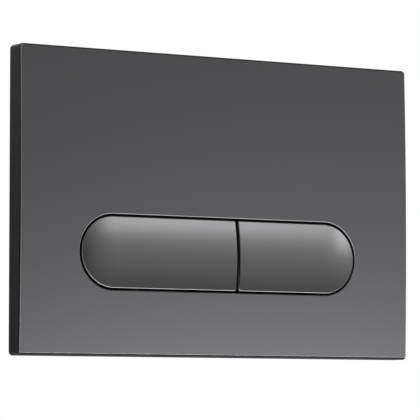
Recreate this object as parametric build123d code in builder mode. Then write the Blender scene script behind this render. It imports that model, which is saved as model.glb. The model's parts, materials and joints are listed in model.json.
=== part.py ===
from build123d import *
import os
from math import cos, radians, sin, sqrt

# A two-button flush plate for a concealed cistern, standing as it hangs on the wall.
# X runs to the right, Y into the wall and Z up. The origin is the middle of the plate on
# the wall face, so everything that shows in the room lies at negative Y.

# Front plate
plate_width = 246.0
plate_height = 164.0
plate_depth = 12.4
crown_rise = 1.15
outline_radius = 2.25
front_edge_radius = 1.2
front_wall = 2.2
rim_wall = 2.4
rib_wall = 1.2
rib_height = 2.4

# Button opening
opening_length = 175.0
opening_height = 40.8
opening_drop = 26.5
opening_edge_radius = 0.45
collar_wall = 1.6

# Buttons: pillow-shaped shells whose lower edge leans out a little
button_gap = 1.35
split_gap = 1.8
split_offset = 10.1
button_crown = 1.8
button_proud = 0.15
button_tilt = 1.2
button_wall = 1.8
button_edge_radius = 0.45
button_corner_radius = 0.8
button_rib_height = 2.2
skirt_wall = 1.6
skirt_depth = 8.5
lip_reach = 2.4
lip_wall = 1.5
lip_width = 14.0
lip_clearance = 0.3
lip_end_margin = 10.0
lip_split_margin = 13.0
button_rib_pitch = 10.0

# Hinges and travel
hinge_margin = 6.3
hinge_depth = 5.7
press_angle = 8.0
pin_radius = 1.0
pin_running_clearance = 0.05
pin_seat_clearance = 0.03
pin_chamfer = 0.2
pin_end_play = 0.3
hinge_eye_radius = 2.8
ear_thickness = 2.4
lug_thickness = 3.0
lug_side_clearance = 0.4
lug_end_margin = 3.0
lug_split_margin = 17.0

# Stop pads
pad_radius = 2.6
pad_height = 1.8
pad_stem_radius = 1.5
pad_stem_clearance = 0.05
pad_foot_radius = 2.0
pad_foot_height = 0.9
stop_clearance = 0.3

# Return springs
spring_radius = 2.7
spring_wire_radius = 0.35
spring_turns = 5
spring_margin = 7.3
spring_seat_depth = 3.0
spring_clearance = 0.3
spring_end_margin = 12.0
spring_split_margin = 11.0
spigot_radius = 1.6
spigot_height = 2.0

# Push posts on the buttons
push_margin = 6.3
push_radius = 4.0
push_reach = 18.0
push_hole_clearance = 2.2
push_clearance = 0.3

# Button carrier: a little longer than the opening and a good deal higher, so that it closes the gaps
carrier_overlap_x = 4.0
carrier_overlap_z = 31.0
carrier_wall = 2.2
carrier_corner = 6.0
carrier_flange_wall = 1.6
carrier_flange_depth = 3.0
carrier_rib_height = 1.8
cap_ring_wall = 1.6

# Screws that hold the carrier
screw_edge_x = 8.0
screw_edge_z = 6.0
screw_radius = 1.45
screw_seat_clearance = 0.03
screw_hole_clearance = 0.15
screw_depth = 8.0
screw_head_radius = 2.9
screw_head_height = 2.0
screw_slot_width = 0.8
screw_slot_depth = 1.0
screw_seat_width = 0.8
boss_radius = 3.3
pilot_spare = 1.0

# Mounting frame
frame_front = 2.0
frame_wall = 3.0
frame_side_clearance = 2.0
frame_end_clearance = 1.6
frame_corner = 8.0
frame_bar_side = 17.0
frame_bar_end = 12.0
frame_flange_wall = 1.8
frame_flange_depth = 4.0
frame_rib_wall = 1.2
frame_rib_pitch = 28.0
frame_rib_count = 5

# Bridge and rod guides
bridge_height = 16.0
bridge_wall = 3.0
bridge_bend = 4.0
bridge_clearance = 0.4
bridge_flange_wall = 1.6
bridge_flange_depth = 3.0
gusset_reach = 5.0
gusset_wall = 1.6
guide_radius = 6.0
guide_length = 13.0
rod_offset = 34.0
rod_radius = 3.0
rod_running_clearance = 0.1
rod_tail = 30.0
rod_chamfer = 0.6

# Rod caps, lock nuts and snap rings
cap_radius = 6.5
cap_length = 5.0
cap_floor = 1.6
cap_flute_radius = 0.9
cap_flutes = 12
cap_chamfer = 0.4
cap_side_clearance = 0.8
thread_clearance = 0.03
rod_nut_width = 10.0
rod_nut_height = 3.0
ring_radius = 5.2
ring_wall = 1.0
ring_mouth = 3.6
ring_groove_depth = 0.5
ring_clearance = 0.3

# Fixing bolts to the cistern
bolt_radius = 3.0
bolt_length = 36.0
bolt_slot_length = 14.0
bolt_slot_clearance = 0.6
bolt_head_width = 10.0
bolt_head_height = 4.0
washer_radius = 6.25
washer_height = 1.6
washer_clearance = 0.2
nut_width = 10.0
nut_height = 5.0
hexagon_chamfer = 0.5

# Posts on the plate and the spring clips that grip them
post_end_margin = 18.0
post_width = 8.0
post_wall = 2.0
post_reach = 6.2
post_bead_radius = 1.45
clip_width = 6.0
clip_wall = 0.5
clip_foot = 3.6
clip_flare = 0.6
clip_play = 0.1
clip_depth = 9.0
clip_bend = 0.9
clip_hole_clearance = 0.8

# Places that follow from those sizes
half_height = plate_height / 2
crown_radius = (half_height**2 + crown_rise**2) / (2 * crown_rise)
wall_anchor = -plate_depth + 0.75 * front_wall
opening_z = -opening_drop
end_centre = (opening_length - opening_height) / 2


def front_y(z):
    """Y of the crowned front face at height z."""
    return -plate_depth + crown_radius - sqrt(crown_radius**2 - z**2)


def wall_plane(y):
    """Plane parallel to the wall at depth y, with X and Z as its axes and its normal into the room."""
    return Plane.XZ.offset(-y)


# The buttons' own frame: their rim lies in rim_plane, which leans out at the foot.
tilt = radians(button_tilt)
lean_up = Vector(0, sin(tilt), cos(tilt))
lean_out = Vector(0, -cos(tilt), sin(tilt))
rim_y = front_y(opening_z) - button_proud
rim_plane = Plane(origin=(0, rim_y, opening_z), x_dir=(1, 0, 0), z_dir=lean_out)
button_half = opening_height / 2 - button_gap
pillow_radius = (button_half**2 + button_crown**2) / (2 * button_crown)
pillow_centre = button_crown - pillow_radius
skin_anchor = -0.2 * button_wall
hinge_rise = button_half - hinge_margin
push_drop = button_half - push_margin
spring_drop = button_half - spring_margin

hinge = rim_plane.from_local_coords(Vector(0, hinge_rise, -hinge_depth))
push_centre_depth = push_reach - push_radius
push_centre = rim_plane.from_local_coords(Vector(0, -push_drop, -push_centre_depth))
rod_z = push_centre.Z
rod_travel = radians(press_angle) * (hinge_rise + push_drop)

# The lip's outer edge at the end of the press settles how far back the carrier lies.
pressed = radians(button_tilt - press_angle)
lip_arm = button_half + lip_reach + hinge_rise
lip_back = hinge.Y - lip_arm * sin(pressed) + (skirt_depth - hinge_depth) * cos(pressed)
carrier_front = lip_back + stop_clearance + pad_height
carrier_back = carrier_front + carrier_wall
lip_front = rim_plane.from_local_coords(Vector(0, -button_half - lip_reach, lip_wall - skirt_depth))
collar_back = lip_front.Y - lip_clearance

full_split = split_offset - split_gap / 2
half_split = split_offset + split_gap / 2


def along_full(end_margin, split_margin):
    """Two places along the long button, by their distances from its round end's centre and its split."""
    return (end_margin - end_centre, full_split - split_margin)


def along_half(end_margin, split_margin):
    """Two places along the short button, by their distances from its split and its round end's centre."""
    return (half_split + split_margin, end_centre - end_margin)


full_lugs = along_full(lug_end_margin, lug_split_margin)
half_lugs = along_half(lug_end_margin, lug_split_margin)
full_springs = along_full(spring_end_margin, spring_split_margin)
half_springs = along_half(spring_end_margin, spring_split_margin)
full_lips = along_full(lip_end_margin, lip_split_margin)
half_lips = along_half(lip_end_margin, lip_split_margin)

carrier_width = opening_length + carrier_overlap_x
carrier_height = opening_height + carrier_overlap_z
screw_x = carrier_width / 2 - screw_edge_x
screw_z = carrier_height / 2 - screw_edge_z
screw_points = [(x, opening_z + z) for x in (-screw_x, 0, screw_x) for z in (-screw_z, screw_z)]
pad_z = lip_front.Z + lip_reach / 2
pad_points = [(x, pad_z) for x in full_lips + half_lips]
spring_z = rim_plane.from_local_coords(Vector(0, -spring_drop, -spring_seat_depth)).Z
spring_front = rim_plane.from_local_coords(Vector(0, -spring_drop, -spring_seat_depth)).Y
rod_points = [(-rod_offset, rod_z), (rod_offset, rod_z)]

# The frame's window clears the carrier, and its bolts and posts stand in the middle of its side bars.
frame_back = frame_front + frame_wall
frame_window_width = carrier_width + 2 * frame_side_clearance
frame_window_height = carrier_height + 2 * (opening_drop + frame_end_clearance)
frame_width = frame_window_width + 2 * frame_bar_side
frame_height = frame_window_height + 2 * frame_bar_end
bolt_x = (frame_window_width + frame_bar_side) / 2
post_z = frame_height / 2 - post_end_margin
bolt_points = [(-bolt_x, 0), (bolt_x, 0)]
post_points = [(x, z) for x in (-bolt_x, bolt_x) for z in (-post_z, post_z)]
cap_front = push_centre.Y + push_radius + push_clearance
cap_back = cap_front + cap_length
rod_nut_back = cap_back + rod_nut_height
guide_front = rod_nut_back + rod_travel + bridge_clearance
bridge_back = guide_front + bridge_wall
guide_back = guide_front + guide_length
ring_front = guide_back + ring_clearance
rod_back = ring_front + ring_wall + rod_tail
clip_pinch = post_wall / 2 + clip_play + clip_wall
clip_belly = post_bead_radius + clip_play + clip_wall
clip_mouth = clip_belly + clip_flare
clip_belly_front = frame_front + post_reach - post_bead_radius
clip_hole_height = 2 * (clip_mouth + clip_hole_clearance)
clip_hole_width = post_width + 2 * clip_hole_clearance

os.makedirs("parts", exist_ok=True)


def finish(part, name):
    """Label a finished piece and write it as its own file."""
    part.label = name
    export_step(part, f"parts/{name}.step")


# Front plate: a crowned block, hollowed from behind, with the opening and its collar


def crowned_profile(half, skin):
    """Side view of the crowned block with a skin taken off its front, half its height up and down."""
    edge_y = front_y(half) + skin
    with BuildSketch(Plane.YZ) as profile:
        with BuildLine():
            Polyline((edge_y, half), (0, half), (0, -half), (edge_y, -half))
            ThreePointArc((edge_y, -half), (-plate_depth + skin, 0), (edge_y, half))
        make_face()
    return profile.sketch


with BuildPart() as front_plate:
    extrude(crowned_profile(half_height, 0), amount=plate_width / 2, both=True)
    fillet(front_plate.edges().filter_by(Axis.Y), outline_radius)
    fillet(front_plate.faces().sort_by(Axis.Y)[0].edges(), front_edge_radius)
    extrude(
        crowned_profile(half_height - rim_wall, front_wall),
        amount=plate_width / 2 - rim_wall,
        both=True,
        mode=Mode.SUBTRACT,
    )
    # Stiffening ribs across the inside of the upper half
    with BuildSketch(wall_plane(wall_anchor + rib_height)):
        with Locations((0, half_height / 2)):
            Rectangle(plate_width - rim_wall, rib_wall)
            with GridLocations(plate_width / 4, 0, 3, 1):
                Rectangle(rib_wall, half_height - rim_wall)
    extrude(amount=rib_height)
    # Collar behind the opening
    with BuildSketch(wall_plane(collar_back)):
        with Locations((0, opening_z)):
            SlotOverall(opening_length + 2 * collar_wall, opening_height + 2 * collar_wall)
    extrude(amount=collar_back - wall_anchor)
    with BuildSketch(wall_plane(0)):
        with Locations((0, opening_z)):
            SlotOverall(opening_length, opening_height)
    extrude(amount=plate_depth, mode=Mode.SUBTRACT)
    fillet(front_plate.faces().sort_by(Axis.Y)[0].inner_wires()[0].edges(), opening_edge_radius)
    # Screw bosses for the carrier
    with BuildSketch(wall_plane(carrier_front)):
        with Locations(*screw_points):
            Circle(boss_radius)
    extrude(amount=carrier_front - wall_anchor)
    with BuildSketch(wall_plane(carrier_front)):
        with Locations(*screw_points):
            Circle(screw_radius + screw_seat_clearance)
    extrude(amount=screw_depth + pilot_spare, mode=Mode.SUBTRACT)
    # Posts for the spring clips, each with a bead that snaps in
    with BuildSketch(wall_plane(frame_front + post_reach)):
        with Locations(*post_points):
            Rectangle(post_width, post_wall)
    extrude(amount=frame_front + post_reach - wall_anchor)
    with Locations(*[Location((x, frame_front + post_reach, z), (0, 90, 0)) for x, z in post_points]):
        Cylinder(post_bead_radius, post_width)
finish(front_plate.part, "front_plate")


# Buttons: a pillow section carried along the straight part, with a ball-topped half disc at the end


def section_plane(x):
    """Plane across a button at x, with the button's up and out directions as its axes."""
    return Plane(origin=(x, rim_y, opening_z), x_dir=lean_up, z_dir=(1, 0, 0))


def pillow_w(u, skin):
    """Height of the pillow's skin above the rim at distance u from the middle line."""
    return pillow_centre + sqrt((pillow_radius - skin) ** 2 - u**2)


def filled_section(x, depth, inset):
    """Button section at x, filled down to a depth behind the rim and inset from the outer skin."""
    u = button_half - inset
    edge_w = pillow_w(u, inset)
    with BuildSketch(section_plane(x)) as section:
        with BuildLine():
            Polyline((u, edge_w), (u, -depth), (-u, -depth), (-u, edge_w))
            ThreePointArc((-u, edge_w), (0, pillow_w(0, inset)), (u, edge_w))
        make_face()
    return section.sketch


def shell_section(x):
    """Section of the button's shell at x: the pillow's skin, and the skirt at both its edges."""
    u = button_half - skirt_wall
    rim_w = pillow_w(button_half, 0)
    inner_w = pillow_w(u, button_wall)
    with BuildSketch(section_plane(x)) as section:
        with BuildLine():
            ThreePointArc((-button_half, rim_w), (0, pillow_w(0, 0)), (button_half, rim_w))
            Polyline((button_half, rim_w), (button_half, -skirt_depth), (u, -skirt_depth), (u, inner_w))
            ThreePointArc((u, inner_w), (0, pillow_w(0, button_wall)), (-u, inner_w))
            Polyline((-u, inner_w), (-u, -skirt_depth), (-button_half, -skirt_depth), (-button_half, rim_w))
        make_face()
    return section.sketch


def round_end(side, radius, skin):
    """Half disc at a button's round end, topped by the ball that carries the pillow's curve round it."""
    with BuildPart() as end:
        with BuildSketch(rim_plane.offset(-skirt_depth)):
            with Locations((side * end_centre, 0)):
                Circle(radius)
            with Locations((side * (end_centre - radius), 0)):
                Rectangle(2 * radius, 2 * radius, mode=Mode.SUBTRACT)
        extrude(amount=skirt_depth + button_crown)
        with Locations(rim_plane.from_local_coords(Vector(side * end_centre, 0, pillow_centre))):
            Sphere(pillow_radius - skin, mode=Mode.INTERSECT)
    return end.part


def flush_button(side, split_x, lugs, springs, lips):
    """One button; side is -1 on the left and 1 on the right, and split_x is its face at the split."""
    end_x = side * end_centre
    straight = abs(split_x - end_x)
    with BuildPart() as button:
        extrude(shell_section(end_x), amount=-side * straight)
        add(round_end(side, button_half, 0))
        add(round_end(side, button_half - skirt_wall, button_wall), mode=Mode.SUBTRACT)
        extrude(filled_section(split_x, skirt_depth, 0), amount=side * skirt_wall)
        # Rounded corners at the split, then the rounded edge all round the pillow
        uprights = button.edges().filter_by(Axis((0, 0, 0), lean_out))
        fillet(uprights.group_by(Axis.X)[-1 if side < 0 else 0], button_corner_radius)
        pillow = button.faces().sort_by(Axis((0, 0, 0), lean_out))[-2:]
        seam = pillow.edges().filter_by_position(Axis.X, end_x - 0.01, end_x + 0.01)
        fillet(pillow.edges() - seam, button_edge_radius)
        # Ribs under the skin
        for x in (side * rod_offset - button_rib_pitch, side * rod_offset + button_rib_pitch):
            rib = filled_section(x - rib_wall / 2, button_rib_height, skirt_wall / 2)
            extrude(rib, amount=rib_wall)
        # Lips that stop against the back of the collar
        with BuildSketch(rim_plane.offset(-skirt_depth)):
            with Locations(*[(x, (skirt_wall - lip_reach) / 2 - button_half) for x in lips]):
                Rectangle(lip_width, skirt_wall + lip_reach)
        extrude(amount=lip_wall)
        # Hinge ears on the outer side of each lug
        for x, outward in zip(lugs, (-1, 1)):
            start = x + outward * (lug_thickness / 2 + lug_side_clearance)
            with BuildSketch(section_plane(start)):
                with Locations((hinge_rise, (skin_anchor - hinge_depth) / 2)):
                    Rectangle(2 * hinge_eye_radius, hinge_depth + skin_anchor)
                with Locations((hinge_rise, -hinge_depth)):
                    Circle(hinge_eye_radius)
                    Circle(pin_radius + pin_running_clearance, mode=Mode.SUBTRACT)
            extrude(amount=outward * ear_thickness)
        # Spring seats with a spigot inside each coil
        with BuildSketch(rim_plane.offset(-spring_seat_depth)):
            with Locations(*[(x, -spring_drop) for x in springs]):
                Circle(spring_radius + spring_wire_radius)
        extrude(amount=spring_seat_depth + skin_anchor)
        with BuildSketch(rim_plane.offset(-spring_seat_depth)):
            with Locations(*[(x, -spring_drop) for x in springs]):
                Circle(spigot_radius)
        extrude(amount=-spigot_height)
        # Push post with a round tip
        with BuildSketch(rim_plane.offset(-push_centre_depth)):
            with Locations((side * rod_offset, -push_drop)):
                Circle(push_radius)
        extrude(amount=push_centre_depth + skin_anchor)
        with Locations((side * rod_offset, push_centre.Y, push_centre.Z)):
            Sphere(push_radius)
    return button.part


full_button = flush_button(-1, full_split, full_lugs, full_springs, full_lips)
finish(full_button, "full_flush_button")
half_button = flush_button(1, half_split, half_lugs, half_springs, half_lips)
finish(half_button, "half_flush_button")


# Hinge pins: each runs through its two lugs and out through the ears


def hinge_pin(lugs):
    """Steel pin from the outer face of one ear to the outer face of the other."""
    reach = lug_thickness / 2 + lug_side_clearance + ear_thickness - pin_end_play
    start = lugs[0] - reach
    with BuildPart() as pin:
        with BuildSketch(Plane.YZ.offset(start)):
            with Locations((hinge.Y, hinge.Z)):
                Circle(pin_radius)
        extrude(amount=lugs[1] + reach - start)
        chamfer(pin.edges().filter_by(GeomType.CIRCLE), pin_chamfer)
    return pin.part


finish(hinge_pin(full_lugs), "full_hinge_pin")
finish(hinge_pin(half_lugs), "half_hinge_pin")

# Button carrier: a flanged plate behind the buttons
with BuildPart() as button_carrier:
    with BuildSketch(wall_plane(carrier_back)):
        with Locations((0, opening_z)):
            RectangleRounded(carrier_width, carrier_height, carrier_corner)
        with Locations(*rod_points):
            Circle(push_radius + push_hole_clearance, mode=Mode.SUBTRACT)
        with Locations(*pad_points):
            Circle(pad_stem_radius + pad_stem_clearance, mode=Mode.SUBTRACT)
        with Locations(*screw_points):
            Circle(screw_radius + screw_hole_clearance, mode=Mode.SUBTRACT)
    extrude(amount=carrier_wall)
    with BuildSketch(wall_plane(carrier_back + carrier_flange_depth)):
        with Locations((0, opening_z)):
            RectangleRounded(carrier_width, carrier_height, carrier_corner)
            RectangleRounded(
                carrier_width - 2 * carrier_flange_wall,
                carrier_height - 2 * carrier_flange_wall,
                carrier_corner - carrier_flange_wall,
                mode=Mode.SUBTRACT,
            )
    extrude(amount=carrier_flange_depth)
    # Ribs on the back, from flange to flange, and rings round the rod caps
    with BuildSketch(wall_plane(carrier_back + carrier_rib_height)):
        with Locations((0, opening_z)):
            with GridLocations(carrier_width / 4, 0, 3, 1):
                Rectangle(rib_wall, carrier_height - carrier_flange_wall)
        with Locations((0, opening_z)):
            Rectangle(carrier_width - carrier_flange_wall, rib_wall)
        with Locations(*rod_points):
            Circle(cap_radius + cap_side_clearance + cap_ring_wall)
            Circle(cap_radius + cap_side_clearance, mode=Mode.SUBTRACT)
        with Locations(*screw_points):
            Circle(screw_head_radius + screw_seat_width, mode=Mode.SUBTRACT)
    extrude(amount=carrier_rib_height)
    for x in full_lugs + half_lugs:
        with BuildSketch(Plane.YZ.offset(x - lug_thickness / 2)):
            with Locations(((hinge.Y + carrier_front) / 2, hinge.Z)):
                Rectangle(carrier_front - hinge.Y, 2 * hinge_eye_radius)
            with Locations((hinge.Y, hinge.Z)):
                Circle(hinge_eye_radius)
                Circle(pin_radius + pin_seat_clearance, mode=Mode.SUBTRACT)
        extrude(amount=lug_thickness)
    with BuildSketch(wall_plane(carrier_front)):
        with Locations(*[(x, spring_z) for x in full_springs + half_springs]):
            Circle(spigot_radius)
    extrude(amount=spigot_height)
finish(button_carrier.part, "button_carrier")


# Return springs: coils that stand on the carrier round its spigots


def return_springs(places):
    """Coil springs from the carrier to just behind the button's spring seats."""
    height = carrier_front - spring_front - spring_clearance - 2 * spring_wire_radius
    start = carrier_front - spring_wire_radius
    with BuildPart() as springs:
        for x in places:
            with BuildLine() as coil:
                Helix(
                    pitch=height / spring_turns,
                    height=height,
                    radius=spring_radius,
                    center=(x, start, spring_z),
                    direction=(0, -1, 0),
                )
            with BuildSketch(Plane(origin=coil.line @ 0, z_dir=coil.line % 0)):
                Circle(spring_wire_radius)
            sweep(path=coil.line, is_frenet=True)
    return springs.part


finish(return_springs(full_springs), "full_return_springs")
finish(return_springs(half_springs), "half_return_springs")

# Stop pads: rubber buttons pulled through the carrier by their stems
with BuildPart() as stop_pads:
    for back, height, radius in (
        (carrier_front, pad_height, pad_radius),
        (carrier_back, carrier_wall, pad_stem_radius),
        (carrier_back + pad_foot_height, pad_foot_height, pad_foot_radius),
    ):
        with BuildSketch(wall_plane(back)):
            with Locations(*pad_points):
                Circle(radius)
        extrude(amount=height)
finish(stop_pads.part, "stop_pads")

# Carrier screws: pan heads with a cross recess
with BuildPart() as carrier_screws:
    with BuildSketch(wall_plane(carrier_back + screw_head_height)):
        with Locations(*screw_points):
            Circle(screw_head_radius)
    extrude(amount=screw_head_height)
    fillet(carrier_screws.edges().group_by(Axis.Y)[-1], screw_head_height / 3)
    with BuildSketch(wall_plane(carrier_back)):
        with Locations(*screw_points):
            Circle(screw_radius)
    extrude(amount=carrier_wall + screw_depth)
    with BuildSketch(wall_plane(carrier_back + screw_head_height)):
        with Locations(*screw_points):
            Rectangle(screw_head_radius, screw_slot_width)
            Rectangle(screw_slot_width, screw_head_radius)
    extrude(amount=screw_slot_depth, mode=Mode.SUBTRACT)
finish(carrier_screws.part, "carrier_screws")

# Mounting frame: a channel-shaped ring with a bridge that carries the rod guides
with BuildPart() as mounting_frame:
    with BuildSketch(wall_plane(frame_back)):
        RectangleRounded(frame_width, frame_height, frame_corner)
        Rectangle(frame_window_width, frame_window_height, mode=Mode.SUBTRACT)
        with Locations(*bolt_points):
            SlotOverall(
                bolt_slot_length,
                2 * (bolt_radius + bolt_slot_clearance),
                rotation=90,
                mode=Mode.SUBTRACT,
            )
        with Locations(*post_points):
            Rectangle(clip_hole_width, clip_hole_height, mode=Mode.SUBTRACT)
    extrude(amount=frame_wall)
    with BuildSketch(wall_plane(frame_back + frame_flange_depth)):
        RectangleRounded(frame_width, frame_height, frame_corner)
        RectangleRounded(
            frame_width - 2 * frame_flange_wall,
            frame_height - 2 * frame_flange_wall,
            frame_corner - frame_flange_wall,
            mode=Mode.SUBTRACT,
        )
        Rectangle(
            frame_window_width + 2 * frame_flange_wall,
            frame_window_height + 2 * frame_flange_wall,
        )
        Rectangle(frame_window_width, frame_window_height, mode=Mode.SUBTRACT)
    extrude(amount=frame_flange_depth)
    # Ribs across the channel, clear of the bolts and clips
    with BuildSketch(wall_plane(frame_back + frame_flange_depth)):
        with GridLocations(frame_window_width + frame_bar_side, post_z, 2, 2):
            Rectangle(frame_bar_side - frame_flange_wall, frame_rib_wall)
        with GridLocations(frame_rib_pitch, frame_window_height + frame_bar_end, frame_rib_count, 2):
            Rectangle(frame_rib_wall, frame_bar_end - frame_flange_wall)
    extrude(amount=frame_flange_depth)
    # Bridge: a strap bent at both ends, with a flange along each edge
    leg_x = (frame_window_width + bridge_wall) / 2
    strap_y = bridge_back - bridge_wall / 2
    with BuildSketch(Plane.XY.offset(rod_z - bridge_height / 2)):
        with BuildLine():
            FilletPolyline(
                (-leg_x, frame_front),
                (-leg_x, strap_y),
                (leg_x, strap_y),
                (leg_x, frame_front),
                radius=bridge_bend,
            )
        trace(line_width=bridge_wall)
    extrude(amount=bridge_height)
    with BuildSketch(wall_plane(bridge_back + bridge_flange_depth)):
        with Locations((0, rod_z)):
            with GridLocations(0, bridge_height - bridge_flange_wall, 1, 2):
                Rectangle(frame_window_width - 2 * bridge_bend, bridge_flange_wall)
    extrude(amount=bridge_flange_depth)
    # Rod guides with gussets on both sides
    with BuildSketch(wall_plane(guide_back)):
        with Locations(*rod_points):
            Circle(guide_radius)
    extrude(amount=guide_length)
    chamfer(mounting_frame.edges().group_by(Axis.Y)[-1], rod_chamfer)
    for x in (-rod_offset, rod_offset):
        with BuildSketch(Plane.XY.offset(rod_z - gusset_wall / 2)):
            with BuildLine():
                Polyline(
                    (x - guide_radius - gusset_reach, bridge_back),
                    (x, bridge_back),
                    (x + guide_radius + gusset_reach, bridge_back),
                    (x + guide_radius, bridge_back + gusset_reach),
                    (x - guide_radius, bridge_back + gusset_reach),
                    close=True,
                )
            make_face()
        extrude(amount=gusset_wall)
    with BuildSketch(wall_plane(guide_back)):
        with Locations(*rod_points):
            Circle(rod_radius + rod_running_clearance)
    extrude(amount=guide_length, mode=Mode.SUBTRACT)
finish(mounting_frame.part, "mounting_frame")

# Retaining clips: a bent strip whose feet lie on the frame and whose legs grip the post
with BuildPart() as retaining_clips:
    for x, z in post_points:
        with BuildSketch(Plane.YZ.offset(x - clip_width / 2)):
            with BuildLine():
                FilletPolyline(
                    (frame_front, z + clip_mouth + clip_foot),
                    (frame_front, z + clip_mouth),
                    (frame_front + frame_wall, z + clip_pinch),
                    (clip_belly_front, z + clip_belly),
                    (frame_front + clip_depth, z + clip_belly),
                    (frame_front + clip_depth, z - clip_belly),
                    (clip_belly_front, z - clip_belly),
                    (frame_front + frame_wall, z - clip_pinch),
                    (frame_front, z - clip_mouth),
                    (frame_front, z - clip_mouth - clip_foot),
                    radius=clip_bend,
                )
                offset(amount=clip_wall, side=Side.RIGHT)
            make_face()
        extrude(amount=clip_width)
finish(retaining_clips.part, "retaining_clips")

# Fixing bolts, washers and nuts
washer_front = frame_front - washer_height
with BuildPart() as fixing_bolts:
    with BuildSketch(wall_plane(washer_front)):
        with Locations(*bolt_points):
            RegularPolygon(bolt_head_width / 2, 6, major_radius=False)
    extrude(amount=bolt_head_height)
    chamfer(fixing_bolts.edges().group_by(Axis.Y)[0], hexagon_chamfer)
    with BuildSketch(wall_plane(frame_front + bolt_length)):
        with Locations(*bolt_points):
            Circle(bolt_radius)
    extrude(amount=frame_front + bolt_length - washer_front)
    chamfer(fixing_bolts.edges().group_by(Axis.Y)[-1], hexagon_chamfer)
finish(fixing_bolts.part, "fixing_bolts")

with BuildPart() as fixing_washers:
    with BuildSketch(wall_plane(frame_front)):
        with Locations(*bolt_points):
            Circle(washer_radius)
            Circle(bolt_radius + washer_clearance, mode=Mode.SUBTRACT)
    extrude(amount=washer_height)
finish(fixing_washers.part, "fixing_washers")

with BuildPart() as fixing_nuts:
    with BuildSketch(wall_plane(frame_back + nut_height)):
        with Locations(*bolt_points):
            RegularPolygon(nut_width / 2, 6, major_radius=False)
    extrude(amount=nut_height)
    chamfer(fixing_nuts.edges().group_by(Axis.Y)[-1], hexagon_chamfer)
    with BuildSketch(wall_plane(frame_back + nut_height)):
        with Locations(*bolt_points):
            Circle(bolt_radius + thread_clearance)
    extrude(amount=nut_height, mode=Mode.SUBTRACT)
finish(fixing_nuts.part, "fixing_nuts")


# Push rods with their caps, lock nuts and snap rings


def push_rod(x):
    """Plain rod with chamfered ends and a groove for its snap ring."""
    front = cap_front + cap_floor
    groove = rod_radius - ring_groove_depth
    with BuildPart() as rod:
        with BuildSketch(wall_plane(rod_back)):
            with Locations((x, rod_z)):
                Circle(rod_radius)
        extrude(amount=rod_back - front)
        chamfer(rod.edges().filter_by(GeomType.CIRCLE), rod_chamfer)
        with BuildSketch(wall_plane(ring_front + ring_wall + ring_clearance / 2)):
            with Locations((x, rod_z)):
                Circle(rod_radius)
                Circle(groove, mode=Mode.SUBTRACT)
        extrude(amount=ring_wall + ring_clearance, mode=Mode.SUBTRACT)
    return rod.part


def rod_cap(x):
    """Fluted cap with a chamfered face and a blind threaded hole for the rod."""
    with BuildPart() as cap:
        with BuildSketch(wall_plane(cap_back)):
            with Locations((x, rod_z)):
                Circle(cap_radius)
                with PolarLocations(cap_radius, cap_flutes):
                    Circle(cap_flute_radius, mode=Mode.SUBTRACT)
        extrude(amount=cap_length)
        chamfer(cap.edges().group_by(Axis.Y)[0], cap_chamfer)
        with BuildSketch(wall_plane(cap_back)):
            with Locations((x, rod_z)):
                Circle(rod_radius + thread_clearance)
        extrude(amount=cap_length - cap_floor, mode=Mode.SUBTRACT)
    return cap.part


def rod_nut(x):
    """Thin lock nut that bears on the back of the cap."""
    with BuildPart() as nut:
        with BuildSketch(wall_plane(rod_nut_back)):
            with Locations((x, rod_z)):
                RegularPolygon(rod_nut_width / 2, 6, major_radius=False)
        extrude(amount=rod_nut_height)
        chamfer(nut.edges().group_by(Axis.Y)[-1], hexagon_chamfer)
        with BuildSketch(wall_plane(rod_nut_back)):
            with Locations((x, rod_z)):
                Circle(rod_radius + thread_clearance)
        extrude(amount=rod_nut_height, mode=Mode.SUBTRACT)
    return nut.part


def rod_ring(x):
    """Open snap ring in the rod's groove."""
    with BuildPart() as ring:
        with BuildSketch(wall_plane(ring_front + ring_wall)):
            with Locations((x, rod_z)):
                Circle(ring_radius)
                Circle(rod_radius - ring_groove_depth + thread_clearance, mode=Mode.SUBTRACT)
            with Locations((x, rod_z - ring_radius / 2)):
                Rectangle(ring_mouth, ring_radius, mode=Mode.SUBTRACT)
        extrude(amount=ring_wall)
    return ring.part


for name, x in (("full", -rod_offset), ("half", rod_offset)):
    finish(push_rod(x), f"{name}_push_rod")
    finish(rod_cap(x), f"{name}_rod_cap")
    finish(rod_nut(x), f"{name}_rod_nut")
    finish(rod_ring(x), f"{name}_rod_ring")
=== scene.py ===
# %% [markdown]
# A flush button plate, dressed for the camera
#
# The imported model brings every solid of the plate: the crowned front, the two pillow-shaped
# buttons and the works behind them. This file gives them their finishes, cuts the fine threads and
# winds the springs that the solids leave plain, and sets up the light and the camera of the
# photograph. Nothing here changes a solid or its place.

import json
import math

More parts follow.
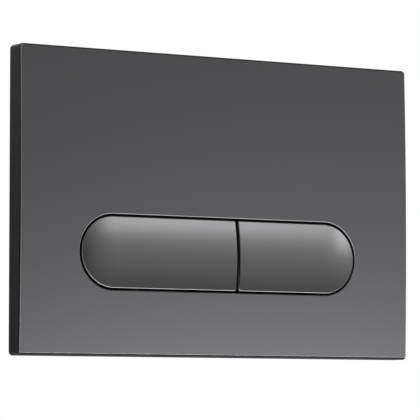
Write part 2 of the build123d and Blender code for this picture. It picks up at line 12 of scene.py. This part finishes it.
import bpy
import numpy as np
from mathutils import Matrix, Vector


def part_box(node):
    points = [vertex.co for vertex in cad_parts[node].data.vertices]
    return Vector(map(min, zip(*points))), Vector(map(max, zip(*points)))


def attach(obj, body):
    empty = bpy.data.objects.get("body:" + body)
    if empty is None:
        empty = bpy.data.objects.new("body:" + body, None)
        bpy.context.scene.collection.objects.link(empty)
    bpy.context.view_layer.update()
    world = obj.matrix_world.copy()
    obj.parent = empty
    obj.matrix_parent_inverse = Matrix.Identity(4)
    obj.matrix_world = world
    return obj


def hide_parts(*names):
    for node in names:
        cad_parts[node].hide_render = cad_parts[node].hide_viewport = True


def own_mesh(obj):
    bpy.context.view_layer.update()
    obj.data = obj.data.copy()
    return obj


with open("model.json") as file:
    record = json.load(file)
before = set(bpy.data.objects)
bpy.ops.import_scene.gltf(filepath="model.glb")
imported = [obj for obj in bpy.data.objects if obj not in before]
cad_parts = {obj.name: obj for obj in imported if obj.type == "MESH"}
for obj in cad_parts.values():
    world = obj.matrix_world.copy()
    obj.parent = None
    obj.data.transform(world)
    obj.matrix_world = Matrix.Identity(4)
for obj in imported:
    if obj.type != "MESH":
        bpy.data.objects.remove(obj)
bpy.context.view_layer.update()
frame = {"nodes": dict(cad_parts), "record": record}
nodes = frame["nodes"]

# %% [markdown]
# Colours are written as the hex values that a painter would pick from a screen. Blender mixes light,
# not screen values, so one function turns them to linear numbers. Node trees are long to write by
# hand; one small function adds a node, sets it up and links its inputs, and everything with nodes
# below is made with it. Patterns are sized in millimetres: a noise whose scale is 1 / size has
# blotches about that size across.

# %% Colour and node helpers
MM = 0.001


def linear(hex_colour):
    """sRGB hex to linear RGBA: c / 12.92 near black, else ((c + 0.055) / 1.055) to the power 2.4."""
    screen = np.array([int(hex_colour[i : i + 2], 16) for i in (1, 3, 5)]) / 255
    light = np.where(screen <= 0.04045, screen / 12.92, ((screen + 0.055) / 1.055) ** 2.4)
    return (*light.tolist(), 1.0)


def add(tree, kind, settings, inputs):
    """Adds a node with its settings, and gives each input, by name or number, a value or a link."""
    node = tree.nodes.new(kind)
    for key, value in settings.items():
        setattr(node, key, value)
    for key, value in inputs.items():
        if isinstance(value, bpy.types.NodeSocket):
            tree.links.new(value, node.inputs[key])
        else:
            node.inputs[key].default_value = value
    return node


def new_material(name):
    """A node material with nothing in its tree yet but its Object coordinates."""
    made = bpy.data.materials.new(name)
    made.use_nodes = True
    made.node_tree.nodes.clear()
    place = add(made.node_tree, "ShaderNodeTexCoord", {}, {}).outputs["Object"]
    return made, made.node_tree, place


print("a screen's mid grey in linear light:", round(linear("#808080")[0], 3))

# %% [markdown]
# The front and the buttons are moulded in black ABS. A satin graphite lacquer covers the front's face
# and a bright metallic coat the buttons' pillows. Both end just round the edge, so the sides, the
# opening's wall and everything behind stay black and matt. A narrow strip at the front's head and foot
# is left bare too, as painted shade: it draws the shaded top edge and the dark underside below the
# foot.
# On the edges the coat gives way to a pale grey. This is a painted highlight, which the lamp below the
# plate brightens where the edges face down: a fine light line round the opening and the buttons' rim,
# and another above the bare strip at the foot.
#
# The bounds could be painted as an image on an unwrapped mesh. Here they are worked out from the
# point's place, which stays sharp at any size. The front's face is a shallow curve and the buttons'
# rim leans, so the depth behind them is y - lean * z - bend * z * z, which two nodes give. The
# inside of a pillow reaches as far forward as its rim, so the way that a face looks counts too: no
# spray gets to one that looks towards the wall.

# %% Bounds of a coat
HALF_HEIGHT = 82 * MM
# Painted shade: the coat stops short of the head and the foot, so both show a dark bare line, for the
# shaded top edge and for the underside below the foot.
COAT_HEAD = HALF_HEIGHT - 0.8 * MM
COAT_FOOT = -HALF_HEIGHT + 1.4 * MM
# A painted highlight: a thin pale line just above the bare strip at the foot.
FOOT_HIGHLIGHT = 0.16 * MM
SPRAY_EDGE = 0.03 * MM
# A face whose normal has more than this share along Y looks towards the wall.
INSIDE = 0.5


def coat_bounds(tree, place, lean, bend, highlight_start, coat_end):
    """Three masks: 1 on the face, 1 where no highlight is painted, 1 where there is any coat."""
    xyz = add(tree, "ShaderNodeSeparateXYZ", {}, {"Vector": place}).outputs
    slope = add(
        tree,
        "ShaderNodeMath",
        {"operation": "MULTIPLY_ADD"},
        {0: xyz["Z"], 1: -bend, 2: -lean},
    )
    depth = add(
        tree,
        "ShaderNodeMath",
        {"operation": "MULTIPLY_ADD"},
        {0: slope.outputs[0], 1: xyz["Z"], 2: xyz["Y"]},
    )
    whole, sprayed = [
        add(
            tree,
            "ShaderNodeMapRange",
            {},
            {
                "Value": depth.outputs[0],
                "From Min": limit - SPRAY_EDGE,
                "From Max": limit + SPRAY_EDGE,
                "To Min": 1.0,
                "To Max": 0.0,
            },
        ).outputs["Result"]
        for limit in (highlight_start, coat_end)
    ]
    # Painted shade: no coat above COAT_HEAD or below COAT_FOOT, which draws dark lines at both edges.
    between = add(
        tree,
        "ShaderNodeMath",
        {"operation": "COMPARE"},
        {0: xyz["Z"], 1: (COAT_HEAD + COAT_FOOT) / 2, 2: (COAT_HEAD - COAT_FOOT) / 2},
    )
    above = add(
        tree,
        "ShaderNodeMath",
        {"operation": "GREATER_THAN"},
        {0: xyz["Z"], 1: COAT_FOOT + FOOT_HIGHLIGHT},
    )
    normal = add(tree, "ShaderNodeTexCoord", {}, {}).outputs["Normal"]
    facing = add(tree, "ShaderNodeSeparateXYZ", {}, {"Vector": normal}).outputs["Y"]
    outside = add(tree, "ShaderNodeMath", {"operation": "LESS_THAN"}, {0: facing, 1: INSIDE})
    on_face = add(
        tree, "ShaderNodeMath", {"operation": "MINIMUM"}, {0: whole, 1: outside.outputs[0]}
    ).outputs[0]
    # Painted highlight: the pale grey goes where this mask is 0, on the edges and in a thin line above
    # the foot.
    no_painted_highlight = add(
        tree, "ShaderNodeMath", {"operation": "MINIMUM"}, {0: on_face, 1: above.outputs[0]}
    )
    reached = add(
        tree, "ShaderNodeMath", {"operation": "MINIMUM"}, {0: sprayed, 1: between.outputs[0]}
    )
    coated = add(
        tree,
        "ShaderNodeMath",
        {"operation": "MINIMUM"},
        {0: reached.outputs[0], 1: outside.outputs[0]},
    )
    return on_face, no_painted_highlight.outputs[0], coated.outputs[0]


print("front's coat from", round(COAT_FOOT / MM, 1), "to", round(COAT_HEAD / MM, 1), "mm")

# %% [markdown]
# A sprayed coat isn't one flat grey: fine flakes make it sparkle a little, and it dries with a faint
# orange peel. Both could be images, but noises on Object coordinates keep their real size and have
# no seams. Real flakes are finer than a pixel here, so they are drawn as coarse as they need to be
# to show at all.

# %% Lacquer
FLAKE = 0.5 * MM
PEEL = 3.0 * MM
PEEL_HAZE = 0.05
# Painted highlight: the coats' edges and a thin line at the foot take this pale, dull grey.
# Bare ABS is nearly black.
PAINTED_HIGHLIGHT_GREY = "#858587"
BARE_ABS = "#161617"
BARE_ROUGHNESS = 0.7
# The matting powder in such coats breaks up most of the mirror image on top of them.
SPECULAR = 0.1


def lacquer(name, dark, light, metallic, roughness, peel_depth, lean, bend, highlight_start, coat_end):
    """Two greys mixed by a flake noise, with orange peel: painted highlight past highlight_start, bare
    past coat_end.
    """
    made, tree, place = new_material(name)
    on_face, no_painted_highlight, coated = coat_bounds(tree, place, lean, bend, highlight_start, coat_end)
    flakes = add(
        tree, "ShaderNodeTexNoise", {}, {"Vector": place, "Scale": 1 / FLAKE, "Detail": 2.0}
    )
    grey = add(
        tree,
        "ShaderNodeMix",
        {"data_type": "RGBA"},
        {0: flakes.outputs["Fac"], 6: linear(dark), 7: linear(light)},
    )
    coat = add(
        tree,
        "ShaderNodeMix",
        {"data_type": "RGBA"},
        # Painted highlight: the edges and the foot line take the pale grey instead of the coat.
        {0: no_painted_highlight, 6: linear(PAINTED_HIGHLIGHT_GREY), 7: grey.outputs[2]},
    )
    colour = add(
        tree,
        "ShaderNodeMix",
        {"data_type": "RGBA"},
        {0: coated, 6: linear(BARE_ABS), 7: coat.outputs[2]},
    )
    peel = add(
        tree, "ShaderNodeTexNoise", {}, {"Vector": place, "Scale": 1 / PEEL, "Detail": 1.0}
    )
    haze = add(
        tree,
        "ShaderNodeMapRange",
        {},
        {
            "Value": peel.outputs["Fac"],
            "To Min": roughness * (1 - PEEL_HAZE),
            "To Max": roughness * (1 + PEEL_HAZE),
        },
    )
    gloss = add(
        tree, "ShaderNodeMix", {}, {0: coated, 2: BARE_ROUGHNESS, 3: haze.outputs["Result"]}
    )
    bump = add(
        tree, "ShaderNodeBump", {}, {"Height": peel.outputs["Fac"], "Distance": peel_depth}
    )
    skin = add(
        tree,
        "ShaderNodeBsdfPrincipled",
        {},
        {
            "Base Color": colour.outputs[2],
            "Metallic": on_face if metallic else 0.0,
            "Specular IOR Level": SPECULAR,
            "Roughness": gloss.outputs[0],
            "Normal": bump.outputs["Normal"],
        },
    )
    add(tree, "ShaderNodeOutputMaterial", {}, {"Surface": skin.outputs["BSDF"]})
    return made


print("flakes of", FLAKE / MM, "mm, orange peel of", PEEL / MM, "mm")

# %% [markdown]
# The front's lacquer is satin and the buttons' coat is full of metal flakes, and that is all that
# sets them apart in the photograph. So both are made by the same function, each with its own greys,
# its own shine and the shape of the face that it covers.

# %% Two coats
# The face stands 12.4 mm in front of the wall at mid-height and 1.15 mm less at its head and foot.
FACE = -12.4 * MM
FACE_BEND = 1.15 * MM / HALF_HEIGHT**2
FACE_COAT = 0.2 * MM
# The buttons' rim leans out by 1.2 degrees. In the middle of the opening, 26.5 mm below the middle
# of the plate, it stands 12.43 mm in front of the wall.
RIM_LEAN = math.tan(math.radians(1.2))
RIM = -12.43 * MM + 26.5 * MM * RIM_LEAN
RIM_COAT = 0.3 * MM
# A painted highlight line that started nearer to the face would show the flat facets of its mesh.
HIGHLIGHT_START = 0.07 * MM
# Satin lacquer scatters nearly all its light, so the plate shades softly from head to foot.
satin_graphite = lacquer(
    "satin_graphite_lacquer",
    dark="#474648",
    light="#4D4C4E",
    metallic=False,
    roughness=0.5,
    peel_depth=0.004 * MM,
    lean=0.0,
    bend=FACE_BEND,
    highlight_start=FACE + HIGHLIGHT_START,
    coat_end=FACE + FACE_COAT,
)
# The metallic coat mirrors blurred surroundings, so the pillows show the lamps and the horizon.
metallic_graphite = lacquer(
    "metallic_graphite_coat",
    dark="#575758",
    light="#5D5D5E",
    metallic=True,
    roughness=0.3,
    peel_depth=0.002 * MM,
    lean=RIM_LEAN,
    bend=0.0,
    highlight_start=RIM + HIGHLIGHT_START,
    coat_end=RIM + RIM_COAT,
)
print("lacquers:", satin_graphite.name, metallic_graphite.name)

# %% [markdown]
# Behind the plate are moulded plastics, rubber and steel. A plastic has the fine grain of a
# spark-eroded mould. A scanned texture could give it, but a small bump over two close colours does as
# well and needs no unwrapping. Drawn and ground steel shows fine lines along its length, which is
# a noise stretched along one axis; each kind of piece lies along X or Y, so the lines are squeezed
# only across Z. Grain and lines are drawn coarser than the real ones, so that they show.

# %% Plastics, rubber and steel
GRAIN = 0.6 * MM
LINES = 0.35 * MM
LINE_STRETCH = (0.15, 0.15, 1.0)
LINE_HAZE = 0.2


def moulded(name, dark, light, roughness, grain_depth):
    """Two close colours mixed by a fine noise, which also lifts the grain as a bump."""
    made, tree, place = new_material(name)
    grain = add(
        tree, "ShaderNodeTexNoise", {}, {"Vector": place, "Scale": 1 / GRAIN, "Detail": 3.0}
    )
    colour = add(
        tree,
        "ShaderNodeMix",
        {"data_type": "RGBA"},
        {0: grain.outputs["Fac"], 6: linear(dark), 7: linear(light)},
    )
    bump = add(
        tree, "ShaderNodeBump", {}, {"Height": grain.outputs["Fac"], "Distance": grain_depth}
    )
    skin = add(
        tree,
        "ShaderNodeBsdfPrincipled",
        {},
        {
            "Base Color": colour.outputs[2],
            "Roughness": roughness,
            "Normal": bump.outputs["Normal"],
        },
    )
    add(tree, "ShaderNodeOutputMaterial", {}, {"Surface": skin.outputs["BSDF"]})
    return made


def steel(name, dark, light, roughness):
    """Two greys mixed by a noise stretched along X and Y, which also varies the roughness."""
    made, tree, place = new_material(name)
    along = add(tree, "ShaderNodeMapping", {}, {"Vector": place, "Scale": LINE_STRETCH})
    lines = add(
        tree,
        "ShaderNodeTexNoise",
        {},
        {"Vector": along.outputs["Vector"], "Scale": 1 / LINES, "Detail": 3.0},
    )
    colour = add(
        tree,
        "ShaderNodeMix",
        {"data_type": "RGBA"},
        {0: lines.outputs["Fac"], 6: linear(dark), 7: linear(light)},
    )
    haze = add(
        tree,
        "ShaderNodeMapRange",
        {},
        {
            "Value": lines.outputs["Fac"],
            "To Min": roughness * (1 - LINE_HAZE),
            "To Max": roughness * (1 + LINE_HAZE),
        },
    )
    metal = add(
        tree,
        "ShaderNodeBsdfPrincipled",
        {},
        {
            "Base Color": colour.outputs[2],
            "Metallic": 1.0,
            "Roughness": haze.outputs["Result"],
        },
    )
    add(tree, "ShaderNodeOutputMaterial", {}, {"Surface": metal.outputs["BSDF"]})
    return made


# ABS from a textured mould: dark, with a soft broad shine.
black_abs = moulded("black_moulded_abs", "#1C1C1E", "#242426", 0.5, 0.01 * MM)
grey_abs = moulded("dark_grey_moulded_abs", "#38393B", "#404143", 0.5, 0.01 * MM)
# Unfilled nylon is a milky off-white; acetal is slicker and takes a strong colour.
nylon = moulded("natural_nylon", "#CFCBBE", "#D8D4C8", 0.4, 0.006 * MM)
acetal = moulded("blue_acetal", "#2F5C96", "#3566A2", 0.35, 0.004 * MM)
# Rubber is nearly black and almost without shine.
rubber = moulded("black_rubber", "#161616", "#1E1E1E", 0.75, 0.015 * MM)
# Bright zinc is a pale blue-grey, spring wire a darker grey, and ground pins shine most.
zinc_steel = steel("bright_zinc_steel", "#B4B7BC", "#C6C9CE", 0.3)
spring_wire = steel("drawn_spring_steel", "#94969A", "#A6A8AC", 0.28)
ground_steel = steel("ground_steel", "#B8BABD", "#C8CACD", 0.22)
print("materials so far:", len(bpy.data.materials))

# %% [markdown]
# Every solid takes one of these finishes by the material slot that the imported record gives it. They
# could be given piece by piece, but this way no piece can be forgotten: a slot without a finish
# stops the script.

# %% Assign the finishes
FINISH_OF_SLOT = {
    "graphite_lacquer": satin_graphite,
    "graphite_gloss": metallic_graphite,
    "black_abs": black_abs,
    "frame_abs": grey_abs,
    "steel_pin": ground_steel,
    "spring_steel": spring_wire,
    "pad_rubber": rubber,
    "zinc_steel": zinc_steel,
    "rod_nylon": nylon,
    "cap_acetal": acetal,
    "nut_nylon": nylon,
}
slot_of_node = {p["node"]: p["material_slot"] for p in frame["record"]["subparts"]}
for name, node in nodes.items():
    node.data.materials.clear()
    node.data.materials.append(FINISH_OF_SLOT[slot_of_node[name]])
print("finished nodes:", len(slot_of_node), "finishes:", len(set(FINISH_OF_SLOT.values())))

# %% [markdown]
# The solids have plain shanks where the real bolts and rods have threads, and plain coils. The new
# pieces are all tubes: rings of points strung along a line, each ring joined to the next. Curves with
# a round bevel could make the springs, but not the threads, so one function joins any rings to
# a closed mesh, and the pieces below only work out where their rings lie.

# %% Tubes from rings
SHARP = math.radians(40)


def tube_piece(name, tubes, body, replaced):
    """Closed tubes, each an array of rings by points by 3: quads between rings, flat end caps."""
    points = []
    faces = []
    start = 0
    for rings in tubes:
        count, sides, _ = rings.shape
        ring = np.arange(count - 1)[:, None] * sides
        here = np.arange(sides)
        following = (here + 1) % sides
        quads = np.stack(
            [ring + here, ring + following, ring + sides + following, ring + sides + here], -1
        )
        last = (count - 1) * sides
        faces += (quads.reshape(-1, 4) + start).tolist()
        faces += [(start + here[::-1]).tolist(), (start + last + here).tolist()]
        points.append(rings.reshape(-1, 3))
        start += count * sides
    mesh = bpy.data.meshes.new(name)
    mesh.from_pydata(np.concatenate(points).tolist(), [], faces)
    mesh.shade_smooth()
    mesh.set_sharp_from_angle(angle=SHARP)
    piece = bpy.data.objects.new(name, mesh)
    bpy.context.scene.collection.objects.link(piece)
    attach(piece, body)
    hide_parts(replaced)
    mesh.materials.append(FINISH_OF_SLOT[slot_of_node[replaced]])
    print(name, "rings of", tubes[0].shape[1], "faces:", len(faces))
    return piece


def turned_rings(x, z, y, radius):
    """Rings round a line along Y: point j of ring k lies radius[k, j] out, at 2 pi j / sides."""
    angle = 2 * np.pi * np.arange(radius.shape[1]) / radius.shape[1]
    height = np.broadcast_to(y[:, None], radius.shape)
    return np.stack([x + radius * np.cos(angle), height, z - radius * np.sin(angle)], -1)


square = turned_rings(0, 0, np.zeros(1), np.ones((1, 4)))
print("a ring of four points, x y z:", (square.round(2) + 0.0).tolist())

# %% [markdown]
# A thread is a ridge that climbs by one pitch in each turn. It could be swept along a helix, but the
# whole shank is simpler as rings whose radius depends on angle and height: the point's angle, as a
# share of a turn, less its height in pitches says where it lies between two crests. Six millimetre
# threads have a pitch of one millimetre.

# %% Threads
PITCH = 1.0 * MM
THREAD_DEPTH = 0.58 * MM
SHANK = 3.0 * MM
TIP = 0.6 * MM
SIDES = 48
RING_STEP = PITCH / 8
# Flanks a little steeper than 1 leave a short flat on each crest and in each root.
FLANK = 1.2
FLAT = 0.1
turn = np.arange(SIDES) / SIDES


def threaded_radius(y):
    """Outer radius less the depth times 1 - ramp, where the ramp is 1 on crests and 0 in roots."""
    place = (turn - y[:, None] / PITCH) % 1
    ramp = np.clip(FLANK * np.abs(2 * place - 1) - FLAT, 0, 1)
    return SHANK - THREAD_DEPTH * (1 - ramp)


one_pitch = threaded_radius(np.arange(0, PITCH, RING_STEP)) / MM
print("thread radius in mm:", round(one_pitch.min(), 2), "to", round(one_pitch.max(), 2))

# %% [markdown]
# The fixing bolts are fully threaded, with a hexagon head that is turned off at its corners. A cone
# could be cut from a hexagon with a boolean, but here the head's radius is just the smaller of the
# hexagon's and a cone's, which gives the arched edges that such a head has. The sizes come from
# the bolts' own solids: two bolts, at both ends of their node's box.

# %% Fixing bolts
HALF_FLATS = 5.0 * MM
HEAD = 4.0 * MM
TURNED = 0.6 * MM
TURNED_FACE = HALF_FLATS - 0.3 * MM
TURNED_SLOPE = 1.73
TURNED_RINGS = 8


def bolt_rings(x, z, front, back):
    """Head rings with the lesser radius of hexagon and cone, then threaded rings with a cone tip."""
    hexagon = HALF_FLATS / np.cos((2 * np.pi * turn) % (np.pi / 3) - np.pi / 6)
    rise = np.concatenate([np.linspace(0, TURNED, TURNED_RINGS), [HEAD]])
    head = np.minimum(hexagon, (TURNED_FACE + TURNED_SLOPE * rise)[:, None])
    y = np.arange(front + HEAD, back, RING_STEP)
    shank = np.minimum(threaded_radius(y), (SHANK - TIP + back - y)[:, None])
    return turned_rings(x, z, np.concatenate([front + rise, y]), np.concatenate([head, shank]))


low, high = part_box("fixing_bolts")
half_corners = HALF_FLATS / math.cos(math.pi / 6)
bolt_tubes = [
    bolt_rings(x, (low.z + high.z) / 2, low.y, high.y)
    for x in (low.x + half_corners, high.x - half_corners)
]
tube_piece("threaded_bolts", bolt_tubes, "plate", "fixing_bolts")

# %% [markdown]
# Each push rod is threaded at its front, where the cap and its lock nut sit, and plain where it runs
# in its guide. The thread fades out behind the nut; the groove holds the snap ring. A turned rod with
# a separate thread would need a clean join, so here the same rings carry both.

# %% Push rods
FADE = 2.0 * MM
THREAD_SPARE = 3.0 * MM
GROOVE = 0.5 * MM
GROOVE_SPARE = 0.15 * MM


def rod_rings(x, z, front, back, thread_end, groove):
    """Rings whose thread fades to nothing at thread_end, with a groove and a cone at both ends."""
    y = np.linspace(front, back, int((back - front) / RING_STEP))
    fade = np.clip((thread_end - y) / FADE, 0, 1)[:, None]
    radius = SHANK - fade * (SHANK - threaded_radius(y))
    ends = SHANK - TIP + np.minimum(y - front, back - y)
    in_groove = (y > groove[0]) & (y < groove[1])
    limit = np.where(in_groove, SHANK - GROOVE, ends)
    return turned_rings(x, z, y, np.minimum(radius, limit[:, None]))


for side in ("full", "half"):
    low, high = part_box(f"{side}_push_rod")
    ring_low, ring_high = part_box(f"{side}_rod_ring")
    groove = (ring_low.y - GROOVE_SPARE, ring_high.y + GROOVE_SPARE)
    thread_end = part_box(f"{side}_rod_nut")[1].y + THREAD_SPARE
    rings = rod_rings(
        (low.x + high.x) / 2, (low.z + high.z) / 2, low.y, high.y, thread_end, groove
    )
    tube_piece(f"{side}_threaded_rod", [rings], f"{side}_rod", f"{side}_push_rod")

# %% [markdown]
# The return springs are wound with closed ends, so that they stand square. A Screw modifier winds
# a helix of one even pitch, so the wire is worked out instead: its height is one wire thickness for
# each turn, and the rest of the spring's length is eased in over the turns between the two end turns.
# When a button is pressed its springs shorten.

# %% Return springs
WIRE = 0.35 * MM
COIL = 2.7 * MM
TURNS = 7
RINGS_PER_TURN = 40
WIRE_SIDES = 12


def spring_rings(x, z, front, back):
    """Circles of the wire's radius round a helix, across its outward and its binormal direction."""
    turns = np.linspace(0, TURNS, TURNS * RINGS_PER_TURN)
    ease = np.clip((turns - 1) / (TURNS - 2), 0, 1)
    length = back - front - 2 * WIRE
    height = 2 * WIRE * turns + (length - 2 * WIRE * TURNS) * ease**2 * (3 - 2 * ease)
    angle = 2 * np.pi * turns
    outward = np.stack([np.cos(angle), np.zeros_like(angle), -np.sin(angle)], -1)
    line = np.array([x, front + WIRE, z]) + COIL * outward + height[:, None] * np.array([0, 1, 0])
    tangent = np.gradient(line, axis=0)
    tangent /= np.linalg.norm(tangent, axis=1, keepdims=True)
    across = np.cross(tangent, outward)
    wire_angle = 2 * np.pi * np.arange(WIRE_SIDES)[:, None] / WIRE_SIDES
    circle = np.cos(wire_angle) * outward[:, None] + np.sin(wire_angle) * across[:, None]
    return line[:, None] + WIRE * circle


for side in ("full", "half"):
    low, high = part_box(f"{side}_return_springs")
    reach = COIL + WIRE
    coils = [
        spring_rings(x, (low.z + high.z) / 2, low.y, high.y)
        for x in (low.x + reach, high.x - reach)
    ]
    springs = tube_piece(f"{side}_coil_springs", coils, "plate", f"{side}_return_springs")
    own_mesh(springs)

# %% [markdown]
# The studio is plain: a pale floor well below the plate and white surroundings. A big backdrop could
# give the white, but it would also light the plate from all round. So the world is white only where
# the camera, a mirror or a glass sees it, and dimmer for scattered light, which the lamps give.

# %% Floor and world
FLOOR_DROP = 0.5
FLOOR_SIZE = 6.0
WORLD_FILL = 0.2


def flat_card(name, centre, across, up, finish):
    """Rectangle: centre + u * across + v * up, with u and v from -1/2 to 1/2."""
    u, v = np.array([[-0.5, 0.5, 0.5, -0.5], [-0.5, -0.5, 0.5, 0.5]])[:, :, None]
    corners = np.array(centre) + u * np.array(across) + v * np.array(up)
    mesh = bpy.data.meshes.new(name)
    mesh.from_pydata(corners.tolist(), [], [(0, 1, 2, 3)])
    mesh.materials.append(finish)
    card = bpy.data.objects.new(name, mesh)
    bpy.context.scene.collection.objects.link(card)
    print(name, "at", centre)
    return card


# Uncoated paper is pale, even and without shine.
pale_paper = moulded("pale_paper", "#EDEDEC", "#F2F2F1", 0.9, 0.01 * MM)
flat_card("floor", (0, 0, -FLOOR_DROP), (FLOOR_SIZE, 0, 0), (0, FLOOR_SIZE, 0), pale_paper)

world = bpy.data.worlds.new("white_studio")
bpy.context.scene.world = world
world.use_nodes = True
sky = world.node_tree
sky.nodes.clear()
rays = add(sky, "ShaderNodeLightPath", {}, {})
seen = add(
    sky,
    "ShaderNodeMath",
    {"operation": "MAXIMUM"},
    {0: rays.outputs["Is Camera Ray"], 1: rays.outputs["Is Glossy Ray"]},
)
seen = add(
    sky,
    "ShaderNodeMath",
    {"operation": "MAXIMUM"},
    {0: seen.outputs[0], 1: rays.outputs["Is Transmission Ray"]},
)
level = add(
    sky,
    "ShaderNodeMapRange",
    {},
    {"Value": seen.outputs[0], "To Min": WORLD_FILL, "To Max": 1.0},
)
white = add(
    sky,
    "ShaderNodeBackground",
    {},
    {"Color": (1, 1, 1, 1), "Strength": level.outputs["Result"]},
)
add(sky, "ShaderNodeOutputWorld", {}, {"Surface": white.outputs["Background"]})
print("world fill:", WORLD_FILL)

# %% [markdown]
# A dark mirror needs something dark to show. A black card, such as a photographer hangs beside the
# lens, shades the left end of the buttons. A darker lacquer would darken them everywhere. The camera
# doesn't see the card, nor does it shade the floor.

# %% Black card
CARD_PLACE = (-0.165, -1.0, 0.075)
CARD_WIDTH = 0.57
CARD_HEIGHT = 1.05
# Black cloth scatters next to nothing.
black_cloth = moulded("black_cloth", "#0C0C0C", "#121212", 0.95, 0.02 * MM)
front_card = flat_card("front_card", CARD_PLACE, (CARD_WIDTH, 0, 0), (0, 0, CARD_HEIGHT), black_cloth)
front_card.visible_camera = False
front_card.visible_shadow = False

# %% [markdown]
# A lamp is an area light that faces the plate. Its place is given as a photographer would: how far
# round to the right, how far up, and how far away, in degrees and metres. Point lamps would leave
# hard dots on the metallic buttons, where the photograph has soft bands of light.
#
# The key softbox draws the band along the tops of the buttons and the right one the spot on
# their right end. A strip below the plate makes its foot lighter than its head and lights the fine
# edges. Mirrored in the satin face it would turn it white in views from above, so it only gives
# scattered light. A small box at the left lifts the upper part of the dark side. The last three are
# for the other views: one keeps the floor pale, and two light the works behind.

# %% Lamps
LOW_TARGET = (0.04, 0, -0.06)
SIDE_TARGET = (-0.123, 0, 0.08)


def softbox(name, azimuth, elevation, distance, width, height, watts, target=(0, 0, 0)):
    """Area lamp facing its target from distance * (sin a cos e, -cos a cos e, sin e) away."""
    around = math.radians(azimuth)
    raised = math.radians(elevation)
    flat = math.cos(raised)
    away = Vector((math.sin(around) * flat, -math.cos(around) * flat, math.sin(raised)))
    light = bpy.data.lights.new(name, "AREA")
    light.shape = "RECTANGLE"
    light.size = width
    light.size_y = height
    light.energy = watts
    lamp = bpy.data.objects.new(name, light)
    lamp.location = Vector(target) + away * distance
    lamp.rotation_euler = away.to_track_quat("Z", "Y").to_euler()
    lamp.visible_camera = False
    bpy.context.scene.collection.objects.link(lamp)
    print(name, watts, "W at", [round(v, 2) for v in lamp.location])
    return lamp


softbox("key_softbox", 30, 23, 1.6, width=0.44, height=0.26, watts=2.8)
softbox("right_softbox", 51, 16, 1.5, width=0.25, height=0.36, watts=2.7)
low_strip = softbox("low_strip", 0, -72, 0.2, width=0.42, height=0.05, watts=3.9, target=LOW_TARGET)
low_strip.visible_glossy = False
softbox("side_softbox", -95, 45, 0.15, width=0.1, height=0.1, watts=0.4, target=SIDE_TARGET)
softbox("overhead_softbox", 180, 90, 1.6, width=0.2, height=1.2, watts=12.0)
softbox("rear_softbox", 150, 35, 1.6, width=1.2, height=0.8, watts=20.0)
softbox("back_softbox", 175, 20, 1.6, width=0.5, height=0.8, watts=12.0)

# %% [markdown]
# The camera stands low on the left and looks a little up, through a long lens. It could be set by
# eye, but these numbers come from fitting the plate's outline to the photograph, in metres, degrees
# and millimetres of lens.

# %% Camera
CAMERA_PLACE = (-0.8180, -1.3559, -0.1141)
CAMERA_YAW = 31.11
CAMERA_PITCH = 4.085
CAMERA_LENS = 248.4
SENSOR_WIDTH = 36.0

yaw = math.radians(CAMERA_YAW)
pitch = math.radians(CAMERA_PITCH)
view_line = Vector(
    (math.sin(yaw) * math.cos(pitch), math.cos(yaw) * math.cos(pitch), math.sin(pitch))
)
lens = bpy.data.cameras.new("camera")
lens.lens = CAMERA_LENS
lens.sensor_width = SENSOR_WIDTH
camera = bpy.data.objects.new("camera", lens)
camera.location = CAMERA_PLACE
camera.rotation_euler = view_line.to_track_quat("-Z", "Y").to_euler()
bpy.context.scene.collection.objects.link(camera)
bpy.context.scene.camera = camera
bpy.context.scene.view_settings.view_transform = "Standard"
print("camera:", CAMERA_PLACE, "lens", CAMERA_LENS)
